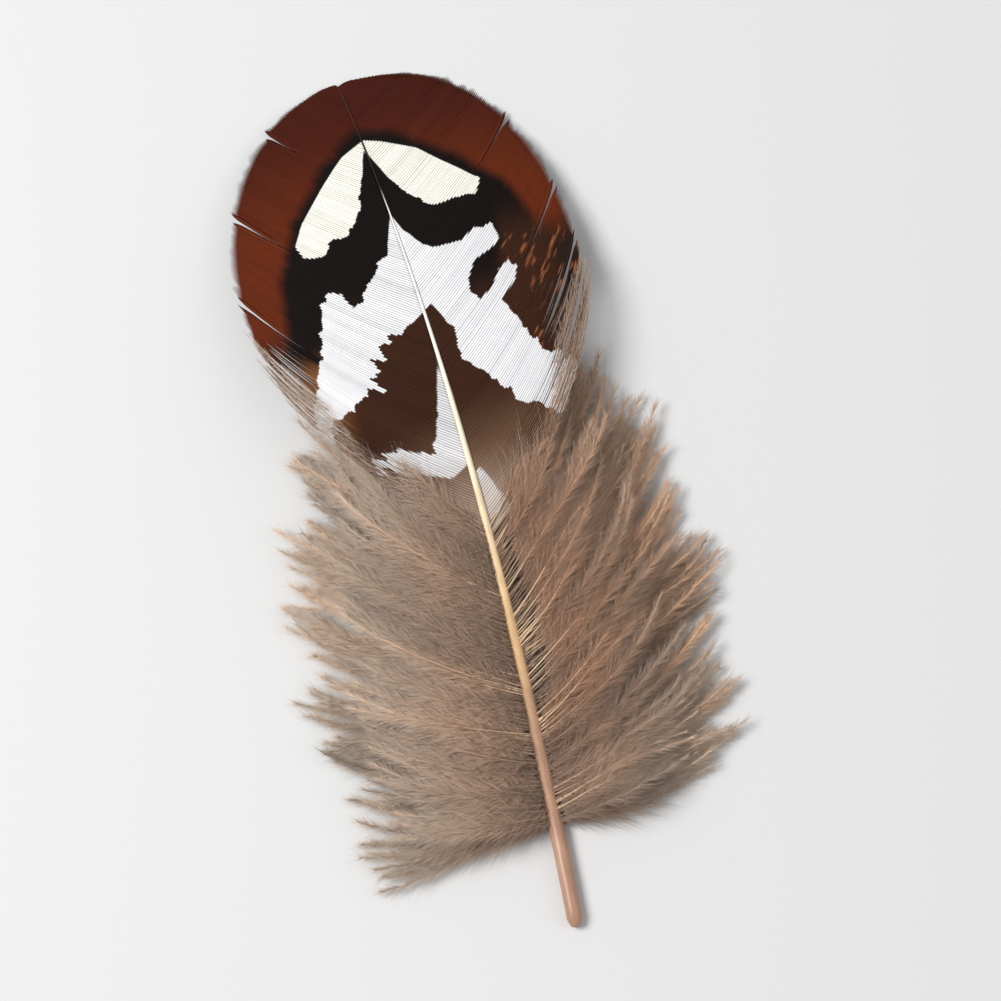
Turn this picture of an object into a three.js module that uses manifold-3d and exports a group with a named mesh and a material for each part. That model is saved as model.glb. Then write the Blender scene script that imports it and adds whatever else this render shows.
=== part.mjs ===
// One body feather of a cock pheasant, lying on a surface with its glossy side up.
// Units are millimetres. +Y runs along the shaft to the tip, +Z is up, and the origin is the point
// where the quill rests on the surface, 4 mm in from its end.
//
// A feather grows in one piece from one follicle: the quill, the shaft, two vanes, the down and the
// downy afterfeather under it. So it is one solid here, joined from simple closed shapes.

import * as THREE from "three";
import { mergeVertices } from "three/addons/utils/BufferGeometryUtils.js";
import Module from "manifold-3d";

const wasm = await Module();
wasm.setup();

// Driving dimensions
const LENGTH = 80;
const QUILL_END_Y = -4;
const TIP_Y = QUILL_END_Y + LENGTH;
const QUILL_RADIUS = 0.75;
const QUILL_END_RADIUS = 0.4;
const QUILL_END_LENGTH = 0.8; // the end widens to the full radius over this
const QUILL_FLAT_END_Y = 4; // the quill lies straight on the surface up to here
const SHAFT_TIP_RADIUS = 0.07;
const SHAFT_TAPER = 1.15; // above 1 the shaft thins faster at the quill than at the tip
const ARCH_HEIGHT = 7; // how far the shaft rises off the surface
const SHAFT_BOW = 1.6; // how far the shaft bends to the right of a straight line
const VANE_ROOT_DEPTH = 46; // from the tip down to the lowest barb of the vane
const VANE_THICKNESS = 0.4;
const VANE_CAMBER = 0.0142; // drop of the vane per square millimetre away from the shaft
const AFTERFEATHER_LENGTH = 33;
const SURFACE_GAP = 0.02; // the lowest locks stay this far above the surface

const SHAFT_SIDES = 8;
const FLAT_ANGLE = Math.PI / SHAFT_SIDES; // turns the section so that a flat side is underneath
const REST_HEIGHT = QUILL_RADIUS * Math.cos(FLAT_ANGLE);
const TIP_HEIGHT = 0.22;

const { clamp, lerp, degToRad } = THREE.MathUtils;

// The shaft's line. It lies flat at the quill, arches over the middle and comes down at the tip.
const ARCH_EARLY = 1.4; // above 1 the arch starts gently at the quill
const ARCH_PEAK = ARCH_EARLY / (ARCH_EARLY + 1);
const archShape = (s) => Math.pow(s, ARCH_EARLY) * (1 - s);

function shaftPoint(y) {
  const along = y / TIP_Y;
  const x = 4 * SHAFT_BOW * along * (1 - along);
  const s = clamp((y - QUILL_FLAT_END_Y) / (TIP_Y - QUILL_FLAT_END_Y), 0, 1);
  const arch = (ARCH_HEIGHT * archShape(s)) / archShape(ARCH_PEAK);
  return new THREE.Vector3(x, y, lerp(REST_HEIGHT, TIP_HEIGHT, s) + arch);
}

function shaftRadius(y) {
  const s = clamp((y - QUILL_FLAT_END_Y) / (TIP_Y - QUILL_FLAT_END_Y), 0, 1);
  return Math.max(SHAFT_TIP_RADIUS, QUILL_RADIUS * Math.pow(1 - s, SHAFT_TAPER));
}

// Closed geometry to a solid. A mirrored shape has its faces turned the right way round first.
function solidFrom(geometry, mirrored = false) {
  geometry.deleteAttribute("normal");
  geometry.deleteAttribute("uv");
  const merged = mergeVertices(geometry, 1e-4);
  const triVerts = new Uint32Array(merged.index.array);
  if (mirrored) triVerts.reverse();
  const vertProperties = new Float32Array(merged.attributes.position.array);
  return new wasm.Manifold(new wasm.Mesh({ numProp: 3, vertProperties, triVerts }));
}

// Moves each vertex of a geometry to where place(point) says.
function reshape(geometry, place) {
  const position = geometry.attributes.position;
  const point = new THREE.Vector3();
  for (let i = 0; i < position.count; i++) {
    point.fromBufferAttribute(position, i);
    const moved = place(point);
    position.setXYZ(i, moved.x, moved.y, moved.z);
  }
  return geometry;
}

// A closed rod along a line: pointAt(t) is its middle, and widthAt(t) and depthAt(t) its half sizes.
function rod({ pointAt, widthAt, depthAt, steps, sides, turn = 0 }) {
  const geometry = new THREE.CylinderGeometry(1, 1, 1, sides, steps, false, turn);
  const up = new THREE.Vector3(0, 0, 1);
  return reshape(geometry, (p) => {
    const t = p.y + 0.5;
    const centre = pointAt(t);
    const ahead = pointAt(Math.min(1, t + 0.01));
    const tangent = ahead.sub(pointAt(Math.max(0, t - 0.01))).normalize();
    const side = tangent.clone().cross(up).normalize();
    const top = side.clone().cross(tangent);
    return centre
      .addScaledVector(side, p.x * widthAt(t))
      .addScaledVector(top, p.z * depthAt(t));
  });
}

// The quill and shaft: a tapering rod with a flat side underneath and a blunt quill end.
const SHAFT_STEP = 4;
const SHAFT_TIP_GAP = 0.2; // the shaft ends this far short of the vane's tip
function makeShaft() {
  const stops = [QUILL_END_Y, QUILL_END_Y + QUILL_END_LENGTH, QUILL_FLAT_END_Y];
  const lastStop = TIP_Y - SHAFT_TIP_GAP;
  for (let y = QUILL_FLAT_END_Y + SHAFT_STEP; y < lastStop - 1; y += SHAFT_STEP) stops.push(y);
  stops.push(lastStop);
  const steps = stops.length - 1;
  const yAt = (t) => {
    const place = clamp(t, 0, 1) * steps;
    const below = Math.min(steps - 1, Math.floor(place + 1e-6));
    return lerp(stops[below], stops[below + 1], place - below);
  };
  const radiusAt = (t) => (t < 1e-6 ? QUILL_END_RADIUS : shaftRadius(yAt(t)));
  const geometry = new THREE.CylinderGeometry(1, 1, 1, SHAFT_SIDES, steps, false, FLAT_ANGLE);
  return solidFrom(
    reshape(geometry, (p) => {
      const y = yAt(p.y + 0.5);
      const r = radiusAt(p.y + 0.5);
      const centre = shaftPoint(y);
      return centre.add(new THREE.Vector3(p.x * r, 0, p.z * r));
    }),
  );
}

// The outline of each half of the vane. It widens down to widestDepth and then narrows slowly to the
// down. The right half is squarer at the tip than the left one, so its fullness is a smaller power.
const VANE_HALVES = {
  "-1": { widest: 15.2, widestDepth: 19, roundness: 2, fullness: 0.55 },
  1: { widest: 15.4, widestDepth: 19, roundness: 2.2, fullness: 0.33 },
};
const VANE_NARROWING = 3.7; // how much each half narrows over the next stretch
const VANE_NARROWING_LENGTH = 25;

// Half the vane's width at a distance from the tip.
function vaneHalfWidth(depth, side) {
  const { widest, widestDepth, roundness, fullness } = VANE_HALVES[side];
  const toWidest = clamp(depth / widestDepth, 0, 1);
  const past = Math.max(0, depth - widestDepth) / VANE_NARROWING_LENGTH;
  const rounded = Math.pow(1 - Math.pow(1 - toWidest, roundness), fullness);
  return widest * rounded - VANE_NARROWING * Math.pow(past, 1.5);
}

// How far from the tip a barb ends, for a barb that leaves the shaft at rootDepth.
const BARB_SWEEP = 34;
const barbEndDepth = (rootDepth) => (rootDepth * rootDepth) / (rootDepth + BARB_SWEEP);

// The barbs leave the upper half of the shaft, which stands a little proud between the vanes.
const BARB_SIDE_SHARE = 0.35; // how far up the shaft's side they grow, as a share of its radius
const BARB_SINK = 0.1;
const vaneLift = (y) => BARB_SIDE_SHARE * shaftRadius(y) - BARB_SINK;

// A barb's line seen from above, from the shaft (u = 0) to the vane's edge (u = 1).
const BARB_ROOT_ANGLE = degToRad(54);
function barbPoint(rootDepth, u, side) {
  const start = shaftPoint(TIP_Y - rootDepth);
  const endDepth = barbEndDepth(rootDepth);
  const endY = TIP_Y - endDepth;
  const end = shaftPoint(endY);
  end.x += side * vaneHalfWidth(endDepth, side);
  const reach = 0.5 * start.distanceTo(end);
  const handle = start.clone();
  handle.x += side * reach * Math.sin(BARB_ROOT_ANGLE);
  handle.y += reach * Math.cos(BARB_ROOT_ANGLE);
  const x = lerp(lerp(start.x, handle.x, u), lerp(handle.x, end.x, u), u);
  const y = lerp(lerp(start.y, handle.y, u), lerp(handle.y, end.y, u), u);
  const middle = shaftPoint(Math.min(y, TIP_Y));
  const z = middle.z + vaneLift(y) - VANE_CAMBER * Math.pow(x - middle.x, 2);
  return new THREE.Vector3(x, y, z);
}

// Where the barbs have unhooked and the edge is split: distance from the tip, and share left whole.
const VANE_SPLITS = {
  "-1": [[43, 0.72], [36, 0.86], [24.5, 0.9], [12, 0.93]],
  1: [[43.5, 0.7], [39, 0.78], [31.5, 0.84], [20, 0.92]],
};
const VANE_ROWS = 28;
const VANE_COLUMNS = 7;
const VANE_ROW_SPREAD = 0.92; // below 1 the rows lie a little closer together towards the tip
const VANE_TIP_ROOT = 0.5; // the last barb leaves the shaft this far from the tip
const SHAFT_OVERLAP = 0.15; // each vane starts this far past the middle of the shaft

function makeVane(side) {
  const rows = [];
  for (let j = 0; j <= VANE_ROWS; j++) {
    const depth = lerp(VANE_ROOT_DEPTH, VANE_TIP_ROOT, Math.pow(j / VANE_ROWS, VANE_ROW_SPREAD));
    rows.push({ depth, whole: 1 });
  }
  for (const [depth, whole] of VANE_SPLITS[side]) {
    const nearest = rows.reduce((a, b) =>
      Math.abs(b.depth - depth) < Math.abs(a.depth - depth) ? b : a,
    );
    nearest.whole = whole;
  }
  const geometry = new THREE.BoxGeometry(1, 1, 1, VANE_COLUMNS, VANE_ROWS, 1);
  const shaped = reshape(geometry, (p) => {
    const row = rows[Math.round((p.y + 0.5) * VANE_ROWS)];
    const u = (p.x + 0.5) * row.whole;
    const point = barbPoint(row.depth, u, side);
    if (u < 1e-6) point.x -= side * SHAFT_OVERLAP;
    point.z = Math.max(point.z, SURFACE_GAP + 0.5 * VANE_THICKNESS) + p.z * VANE_THICKNESS;
    return point;
  });
  return solidFrom(shaped, side < 0);
}

// A lock of down: a flat tuft that leaves its shaft, widens, and thins to a point.
const LOCK_STEPS = 4;
const LOCK_SIDES = 6;
const LOCK_END_HALF_WIDTH = 0.1;
const LOCK_END_HALF_DEPTH = 0.08;
const LOCK_FLOOR_SHARE = 1.1; // a lock's middle stays this many half depths above the surface
function makeLock({ root, side, length, startAngle, endAngle, width, thickness, tipHeight, loft }) {
  const direction = (angle) => new THREE.Vector2(side * Math.sin(angle), Math.cos(angle));
  const first = direction(startAngle).multiplyScalar(0.5 * length);
  const second = direction(endAngle).multiplyScalar(0.5 * length);
  const fullness = (t) => Math.pow(Math.sin(Math.PI * Math.pow(clamp(t, 0, 1), 0.75)), 0.7);
  const depthAt = (t) => LOCK_END_HALF_DEPTH + 0.5 * thickness * fullness(t);
  const pointAt = (t) => {
    const bend = 2 * t * (1 - t);
    const x = root.x + bend * first.x + t * t * (first.x + second.x);
    const y = root.y + bend * first.y + t * t * (first.y + second.y);
    const z = lerp(root.z, tipHeight, Math.pow(t, 1.2)) + loft * Math.sin(Math.PI * t);
    const lowest = LOCK_FLOOR_SHARE * depthAt(t) + SURFACE_GAP;
    return new THREE.Vector3(x, y, Math.max(z, lowest));
  };
  const widthAt = (t) => LOCK_END_HALF_WIDTH + 0.5 * width * fullness(t);
  return solidFrom(
    rod({ pointAt, widthAt, depthAt, steps: LOCK_STEPS, sides: LOCK_SIDES, turn: Math.PI / 6 }),
  );
}

// The down of the lower feather: two layers of locks on each side of the shaft, from the quill to
// the vane. The lower layer lies out to the surface, and the upper one stands up over the shaft.
const DOWN_ROWS = 12;
const DOWN_FIRST_Y = 5;
const DOWN_LAST_Y = 33.5;
const DOWN_LOCK_WIDTH = 3.4;
const DOWN_LOFT_LOSS = 0.35; // the locks stand up less towards the vane, by this share
const DOWN_UNEVENNESS = 0.8; // the locks' lengths differ by up to this
// Length and angles from the shaft, at the quill and at the vane. Length is greatest in between.
const DOWN_LENGTHS = [15.5, 18.5];
const DOWN_MIDDLE_LENGTH = 3.5;
const DOWN_START_ANGLES = [100, 52];
const DOWN_END_ANGLES = [74, 24];
const DOWN_ANGLE_SPREAD = 0.6; // below 1 the angles close up soon above the quill
const DOWN_LAYERS = [
  { rise: -0.15, lengthShare: 1, tipShare: 0, loft: 0.2, turn: 6, thickness: 1.3 },
  { rise: 0.2, lengthShare: 0.88, tipShare: 0.55, loft: 3, turn: -5, thickness: 2.3 },
];

function makeDown() {
  const locks = [];
  for (const side of [-1, 1]) {
    for (let i = 0; i < DOWN_ROWS; i++) {
      const t = i / (DOWN_ROWS - 1);
      const y = lerp(DOWN_FIRST_Y, DOWN_LAST_Y, t);
      const uneven = Math.sin(5.1 * i + 1.7 * side); // looks irregular from lock to lock
      const length = lerp(...DOWN_LENGTHS, t) + DOWN_MIDDLE_LENGTH * Math.sin(Math.PI * t);
      const closed = Math.pow(t, DOWN_ANGLE_SPREAD);
      for (const layer of DOWN_LAYERS) {
        const root = shaftPoint(y);
        root.z += layer.rise;
        locks.push(
          makeLock({
            root,
            side,
            length: layer.lengthShare * length + DOWN_UNEVENNESS * uneven,
            startAngle: degToRad(lerp(...DOWN_START_ANGLES, closed) + layer.turn),
            endAngle: degToRad(lerp(...DOWN_END_ANGLES, closed) + layer.turn + 4 * uneven),
            width: DOWN_LOCK_WIDTH,
            thickness: layer.thickness,
            tipHeight: layer.tipShare * root.z + 0.5 * layer.loft,
            loft: layer.loft * (1 - DOWN_LOFT_LOSS * t),
          }),
        );
      }
    }
  }
  return locks;
}

// The afterfeather: a small, wholly downy feather on its own thin shaft, which forks from the
// underside at the top of the quill and lies beneath the main one.
const AFTER_FORK_Y = 6.5;
const AFTER_ROWS = 5;
const AFTER_TIP_HEIGHT = 2.6;
const AFTER_SHAFT_RADII = [0.32, 0.1]; // at the fork and at the tip
const AFTER_SHAFT_STEPS = 6;
const AFTER_SHAFT_SIDES = 6;
const AFTER_DROP = 0.1; // it leaves the main shaft this far below its middle
const AFTER_BOW = 1.2; // and ends this far left of it
const AFTER_LOCK_LENGTHS = [11, 8.5];
const AFTER_START_ANGLES = [66, 40];
const AFTER_END_ANGLES = [40, 14];
const AFTER_LOCK = { width: 3.2, thickness: 0.9, tipHeight: 0.9, loft: 0.2 };

function afterPoint(t) {
  const y = AFTER_FORK_Y + t * AFTERFEATHER_LENGTH;
  const main = shaftPoint(y);
  const forkHeight = shaftPoint(AFTER_FORK_Y).z - AFTER_DROP;
  const z = lerp(forkHeight, AFTER_TIP_HEIGHT, Math.pow(t, 0.9));
  return new THREE.Vector3(main.x - AFTER_BOW * t, y, z);
}

function makeAfterfeather() {
  const radiusAt = (t) => lerp(...AFTER_SHAFT_RADII, t);
  const shaft = rod({
    pointAt: afterPoint,
    widthAt: radiusAt,
    depthAt: radiusAt,
    steps: AFTER_SHAFT_STEPS,
    sides: AFTER_SHAFT_SIDES,
  });
  const solids = [solidFrom(shaft)];
  for (const side of [-1, 1]) {
    for (let i = 0; i < AFTER_ROWS; i++) {
      const t = (i + 0.5) / AFTER_ROWS;
      solids.push(
        makeLock({
          root: afterPoint(t),
          side,
          length: lerp(...AFTER_LOCK_LENGTHS, t),
          startAngle: degToRad(lerp(...AFTER_START_ANGLES, t)),
          endAngle: degToRad(lerp(...AFTER_END_ANGLES, t)),
          ...AFTER_LOCK,
        }),
      );
    }
  }
  return solids;
}

// A solid's vertices and triangles as a geometry to draw.
function geometryFrom(solid) {
  const mesh = solid.getMesh();
  const geometry = new THREE.BufferGeometry();
  const positions = new THREE.BufferAttribute(new Float32Array(mesh.vertProperties), mesh.numProp);
  geometry.setAttribute("position", positions);
  geometry.setIndex(new THREE.BufferAttribute(new Uint32Array(mesh.triVerts), 1));
  geometry.computeVertexNormals();
  return geometry;
}

const grown = [makeShaft(), makeVane(-1), makeVane(1), ...makeDown(), ...makeAfterfeather()];
const joined = grown.reduce((all, piece) => all.add(piece));
// The outer skin alone, so that small pockets shut in between crossing locks are solid
const whole = joined.decompose().reduce((a, b) => (b.volume() > a.volume() ? b : a));

const keratin = new THREE.MeshStandardMaterial({ color: 0x4a2a1e, roughness: 0.6, metalness: 0 });
const feather = new THREE.Mesh(geometryFrom(whole), keratin);
feather.name = "feather";

const part = new THREE.Group();
part.add(feather);

export default part;
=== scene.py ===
# One body feather of a cock pheasant, lying on a pale surface with its glossy side up.
# The scene is in metres. The feather's own sizes are given in millimetres and turned into metres by MM.
# +Y runs along the shaft to the tip, +Z is up, and the quill rests on the surface at the origin.
import math
import bmesh
import bpy
import numpy as np
from mathutils import Matrix, Vector


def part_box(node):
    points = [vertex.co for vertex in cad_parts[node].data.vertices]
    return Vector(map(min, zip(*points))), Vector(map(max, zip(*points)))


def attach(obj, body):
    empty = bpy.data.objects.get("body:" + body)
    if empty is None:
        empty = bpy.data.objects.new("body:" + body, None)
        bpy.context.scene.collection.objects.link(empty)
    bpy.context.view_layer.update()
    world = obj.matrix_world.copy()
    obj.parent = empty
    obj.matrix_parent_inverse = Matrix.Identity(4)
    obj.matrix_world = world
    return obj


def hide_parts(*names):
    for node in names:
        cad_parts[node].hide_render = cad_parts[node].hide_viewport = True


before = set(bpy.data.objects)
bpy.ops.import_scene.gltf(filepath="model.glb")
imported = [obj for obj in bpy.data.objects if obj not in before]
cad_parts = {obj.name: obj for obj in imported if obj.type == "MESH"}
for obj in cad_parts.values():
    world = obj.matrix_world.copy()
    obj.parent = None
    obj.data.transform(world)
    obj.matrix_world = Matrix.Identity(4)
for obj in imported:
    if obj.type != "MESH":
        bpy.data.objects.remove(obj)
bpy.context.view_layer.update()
MM = 0.001

# The shaft and quill
# One tapering rod of horn-like keratin, bare and hollow at the quill and solid and pithy above it.
# It grew from the follicle, lies flat at the quill, arches over the middle and thins to a hair.
feather_low, feather_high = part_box("feather")
QUILL_END_Y = feather_low.y / MM
TIP_Y = round(feather_high.y / MM, 1)
QUILL_FLAT_END_Y = 4.0  # the quill lies straight on the surface up to here
QUILL_RADIUS = 0.75
SHAFT_TIP_RADIUS = 0.07
SHAFT_TAPER = 1.5  # above 1 the shaft thins faster at the quill than at the tip
SHAFT_BOW = 1.6  # how far the shaft bends to the right of a straight line
ARCH_HEIGHT = 7.0
ARCH_EARLY = 1.4  # above 1 the arch starts gently at the quill
ARCH_PEAK = ARCH_EARLY / (ARCH_EARLY + 1)
ROUND_SHARE = math.cos(math.pi / 8)  # a round quill touches the surface where the flat-sided one does
REST_HEIGHT = QUILL_RADIUS * ROUND_SHARE
TIP_HEIGHT = 0.22
SHAFT_SIDES = 20
SHAFT_STEP = 1.0
# From the bottom of the pit in the quill's end out over its rim: place from the end, and radius
QUILL_RIM = [(0.7, 0.1), (0.15, 0.16), (0.0, 0.24), (0.02, 0.38), (0.2, 0.55), (0.8, QUILL_RADIUS)]
QUILL_RIM_LENGTH = 1.8  # the even rings start this far from the quill's end
TIP_RINGS_BACK = 0.3  # and stop this far short of the tip
LAST_RING_BACK = 0.1
LAST_RING_SHARE = 0.6  # of the shaft's least radius
POINT_BACK = 0.02
GROOVE_START_Y = 8.0
GROOVE_ONSET = 6.0  # it reaches its full depth over this length
GROOVE_FADE = 20.0  # and runs out over this length before the tip
GROOVE_EDGE = 0.6  # share of the radius below the middle at which it starts
GROOVE_DEPTH = 0.28  # share of the radius that it goes in


def arch_shape(s):
    """The arch's course along its share, before it is scaled to its height."""
    return s**ARCH_EARLY * (1 - s)


def shaft_share(y):
    """How far along the arched part a place is, 0 where it leaves the surface and 1 at the tip."""
    return np.clip((y - QUILL_FLAT_END_Y) / (TIP_Y - QUILL_FLAT_END_Y), 0, 1)


def shaft_line(y):
    """Points on the shaft's middle, in mm."""
    y = np.asarray(y, float)
    along = y / TIP_Y
    s = shaft_share(y)
    x = 4 * SHAFT_BOW * along * (1 - along)
    arch = ARCH_HEIGHT * arch_shape(s) / arch_shape(ARCH_PEAK)
    z = REST_HEIGHT + (TIP_HEIGHT - REST_HEIGHT) * s + arch
    return np.stack([x, y, z], -1)


def shaft_radius(y):
    return np.maximum(SHAFT_TIP_RADIUS, QUILL_RADIUS * (1 - shaft_share(y)) ** SHAFT_TAPER)


def srgb(red, green, blue):
    """A colour as the eye reads it, 0 to 255, as the linear colour that a shader takes."""
    def linear(value):
        share = value / 255
        return share / 12.92 if share <= 0.04045 else ((share + 0.055) / 1.055) ** 2.4

    return (linear(red), linear(green), linear(blue), 1.0)


rings = [(QUILL_END_Y + place, radius * ROUND_SHARE) for place, radius in QUILL_RIM]
for y in np.arange(QUILL_END_Y + QUILL_RIM_LENGTH, TIP_Y - TIP_RINGS_BACK, SHAFT_STEP):
    rings.append((float(y), float(shaft_radius(y)) * ROUND_SHARE))
rings.append((TIP_Y - LAST_RING_BACK, SHAFT_TIP_RADIUS * LAST_RING_SHARE))

shaft_shape = bmesh.new()
first_y, first_radius = rings[0]
start = Vector(shaft_line(first_y)) * MM
upright = Matrix.Translation(start) @ Matrix.Rotation(math.pi / 2, 4, "X")
made = bmesh.ops.create_circle(
    shaft_shape, cap_ends=True, segments=SHAFT_SIDES, radius=first_radius * MM, matrix=upright
)
ring_edges = list({edge for vert in made["verts"] for edge in vert.link_edges})
centre, radius = start, first_radius
for next_y, next_radius in rings[1:]:
    grown = bmesh.ops.extrude_edge_only(shaft_shape, edges=ring_edges)["geom"]
    ring_verts = [item for item in grown if isinstance(item, bmesh.types.BMVert)]
    ring_edges = [item for item in grown if isinstance(item, bmesh.types.BMEdge)]
    ring_edges = [edge for edge in ring_edges if all(vert in ring_verts for vert in edge.verts)]
    size = next_radius / radius
    bmesh.ops.scale(
        shaft_shape, vec=(size, 1, size), space=Matrix.Translation(-centre), verts=ring_verts
    )
    next_centre = Vector(shaft_line(next_y)) * MM
    bmesh.ops.translate(shaft_shape, vec=next_centre - centre, verts=ring_verts)
    centre, radius = next_centre, next_radius
bmesh.ops.pointmerge(
    shaft_shape, verts=ring_verts, merge_co=Vector(shaft_line(TIP_Y - POINT_BACK)) * MM
)
for vert in shaft_shape.verts:
    y = vert.co.y / MM
    middle = shaft_line(y)
    radius = float(shaft_radius(y)) * ROUND_SHARE
    below = (middle[2] - vert.co.z / MM) / radius
    onset = np.clip((y - GROOVE_START_Y) / GROOVE_ONSET, 0, 1)
    grooved = GROOVE_DEPTH * float(onset * np.clip((TIP_Y - y) / GROOVE_FADE, 0, 1))
    if below > GROOVE_EDGE:
        vert.co.z += grooved * radius * (below - GROOVE_EDGE) / (1 - GROOVE_EDGE) * MM
bmesh.ops.recalc_face_normals(shaft_shape, faces=shaft_shape.faces)
shaft_mesh = bpy.data.meshes.new("shaft")
shaft_shape.to_mesh(shaft_mesh)
shaft_shape.free()
shaft_mesh.shade_smooth()
shaft = bpy.data.objects.new("shaft", shaft_mesh)
bpy.context.scene.collection.objects.link(shaft)


def new_material(name):
    """A material, its node tree and the Principled shader in it."""
    material = bpy.data.materials.new(name)
    material.use_nodes = True
    tree = material.node_tree
    shader = tree.nodes["Principled BSDF"]
    return material, tree, shader


def set_inputs(tree, node, values):
    """Sockets are linked, and plain values are set."""
    for socket, value in values.items():
        if isinstance(value, bpy.types.NodeSocket):
            tree.links.new(value, node.inputs[socket])
        else:
            node.inputs[socket].default_value = value


def add_node(tree, kind, values=(), **settings):
    node = tree.nodes.new(kind)
    for name, value in settings.items():
        setattr(node, name, value)
    set_inputs(tree, node, dict(values))
    return node


def attribute(tree, name):
    return add_node(tree, "ShaderNodeAttribute", attribute_name=name).outputs["Fac"]


def mix(tree, share, below, above, blend="MIX"):
    """One colour laid over another by a share."""
    node = add_node(tree, "ShaderNodeMix", data_type="RGBA", blend_type=blend)
    set_inputs(tree, node, {0: share, 6: below, 7: above})
    return node.outputs[2]


def math_node(tree, operation, *values, clamp=False):
    node = add_node(tree, "ShaderNodeMath", operation=operation, use_clamp=clamp)
    set_inputs(tree, node, dict(enumerate(values)))
    return node.outputs[0]


def ramp_over(tree, value, low, high, eased=True):
    """A value from 0 to 1 as another one goes from low to high."""
    kind = "SMOOTHSTEP" if eased else "LINEAR"
    node = add_node(tree, "ShaderNodeMapRange", interpolation_type=kind)
    set_inputs(tree, node, {"Value": value, "From Min": low, "From Max": high})
    return node.outputs["Result"]


def colour_ramp(tree, value, stops):
    node = add_node(tree, "ShaderNodeValToRGB")
    elements = node.color_ramp.elements
    while len(elements) < len(stops):
        elements.new(0.5)
    for element, (place, colour) in zip(elements, stops):
        element.position = place
        element.color = colour
    set_inputs(tree, node, {"Fac": value})
    return node.outputs["Color"]


# Keratin colours vary a little everywhere: by strand, and in faint streaks and blotches
tint = bpy.data.node_groups.new("keratin_variation", "ShaderNodeTree")
for name, kind in (("Colour", "NodeSocketColor"), ("Tone", "NodeSocketFloat"),
                   ("Amount", "NodeSocketFloat"), ("Grain", "NodeSocketFloat")):
    tint.interface.new_socket(name, in_out="INPUT", socket_type=kind)
tint.interface.new_socket("Colour", in_out="OUTPUT", socket_type="NodeSocketColor")
tint_in = tint.nodes.new("NodeGroupInput")
tint_out = tint.nodes.new("NodeGroupOutput")
tint_place = add_node(tint, "ShaderNodeTexCoord")
tint_noise = add_node(
    tint, "ShaderNodeTexNoise", {"Vector": tint_place.outputs["Object"], "Detail": 3.0}
)
tint.links.new(tint_in.outputs["Grain"], tint_noise.inputs["Scale"])
tint_shift = math_node(tint, "SUBTRACT", tint_noise.outputs["Fac"], 0.5)
tint_sum = math_node(tint, "ADD", tint_shift, tint_in.outputs["Tone"])
tint_gain = math_node(tint, "MULTIPLY_ADD", tint_sum, tint_in.outputs["Amount"], 1.0)
tint_colour = add_node(tint, "ShaderNodeVectorMath", operation="SCALE")
tint.links.new(tint_in.outputs["Colour"], tint_colour.inputs[0])
tint.links.new(tint_gain, tint_colour.inputs["Scale"])
tint.links.new(tint_colour.outputs[0], tint_out.inputs["Colour"])


def varied(tree, colour, tone, amount, grain):
    """A colour after the keratin variation group."""
    node = add_node(tree, "ShaderNodeGroup", node_tree=tint)
    set_inputs(tree, node, {"Colour": colour, "Tone": tone, "Amount": amount, "Grain": grain})
    return node.outputs["Colour"]


SHAFT_GRAIN = 500.0  # blotches, in noise cells a metre
SHAFT_UNEVENNESS = 0.5
STREAK_SCALE = 400.0
STREAK_STRETCH = (9.0, 0.6, 9.0)  # the streaks run along the shaft
DENT_DEPTH = 0.00003
SHAFT_GLOSS = (0.6, 0.84)  # shares of the length between which the gloss goes
SHAFT_ROUGHNESS = (0.36, 0.75)
KERATIN_IOR = 1.54
QUILL_SKIN = srgb(176, 136, 112)
STRAW = srgb(214, 178, 128)
CREAM = srgb(244, 225, 192)
WHITE_HAIR = srgb(236, 232, 224)
DARK_HAIR = srgb(34, 23, 19)
CHESTNUT_HAIR = srgb(66, 27, 17)
keratin, tree, shader = new_material("shaft_keratin")
place = add_node(tree, "ShaderNodeTexCoord").outputs["Object"]
height = add_node(tree, "ShaderNodeSeparateXYZ", {0: place}).outputs["Y"]
along = ramp_over(tree, height, QUILL_END_Y * MM, TIP_Y * MM, eased=False)
shaft_colour = colour_ramp(tree, along, [
    (0.0, QUILL_SKIN), (0.2, QUILL_SKIN), (0.34, STRAW), (0.5, CREAM), (0.7, WHITE_HAIR),
    (0.815, WHITE_HAIR), (0.845, DARK_HAIR), (0.92, DARK_HAIR), (0.94, CHESTNUT_HAIR),
])
streak_place = add_node(tree, "ShaderNodeMapping", {"Vector": place, "Scale": STREAK_STRETCH})
streaks = add_node(
    tree, "ShaderNodeTexNoise",
    {"Vector": streak_place.outputs[0], "Scale": STREAK_SCALE, "Detail": 4.0},
)
streak_tone = math_node(tree, "SUBTRACT", streaks.outputs["Fac"], 0.5)
final_colour = varied(tree, shaft_colour, streak_tone, SHAFT_UNEVENNESS, SHAFT_GRAIN)
dents = add_node(
    tree, "ShaderNodeBump",
    {"Height": streaks.outputs["Fac"], "Strength": 0.25, "Distance": DENT_DEPTH},
)
dulled = add_node(tree, "ShaderNodeMapRange", {
    "Value": along, "From Min": SHAFT_GLOSS[0], "From Max": SHAFT_GLOSS[1],
    "To Min": SHAFT_ROUGHNESS[0], "To Max": SHAFT_ROUGHNESS[1],
})
set_inputs(tree, shader, {
    "Base Color": final_colour, "Roughness": dulled.outputs[0], "IOR": KERATIN_IOR,
    "Specular IOR Level": 0.35, "Normal": dents.outputs[0], "Subsurface Weight": 0.25,
    "Subsurface Radius": (0.6, 0.35, 0.2), "Subsurface Scale": 0.0006,
})
shaft_mesh.materials.append(keratin)
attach(shaft, "root")
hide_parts("feather")

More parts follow.
